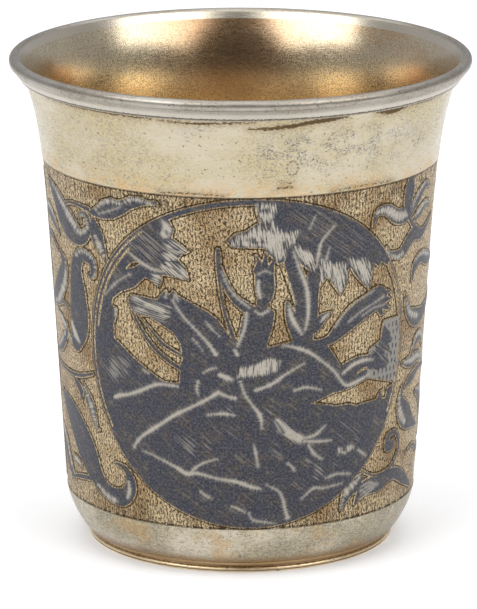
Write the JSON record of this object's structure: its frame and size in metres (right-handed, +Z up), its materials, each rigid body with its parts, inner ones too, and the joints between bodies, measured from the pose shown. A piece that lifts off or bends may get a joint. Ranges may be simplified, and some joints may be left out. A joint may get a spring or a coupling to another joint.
{
  "type": "silver-gilt beaker",
  "caption": "Small flared drinking beaker in gilded silver, with a chased niello frieze of picture medallions and leaf scrolls, a moulded rim and a low foot ring.",
  "frame": {"origin": "centre of the foot ring's underside, at the height of the surface that the beaker stands on", "axes": "+Z up, the axis of the beaker; -Y faces the front medallion, which the picture shows; +X to the right as seen from the front"},
  "size_m": [0.0744, 0.0744, 0.0798],
  "materials": {
    "gilt_silver_niello": "polished silver gilt, rubbed to silver in places, with a frieze of blue-black niello on a chased and tooled gilt ground",
    "rubbed_silver": "worn polished silver with thin gilding",
    "tarnished_gilt": "brown-gold tarnished gilding, bright on the lowest bead"
  },
  "bodies": {
    "root": {"cup_body": "gilt_silver_niello", "rim_moulding": "rubbed_silver", "foot_ring": "tarnished_gilt"}
  },
  "joints": []
}
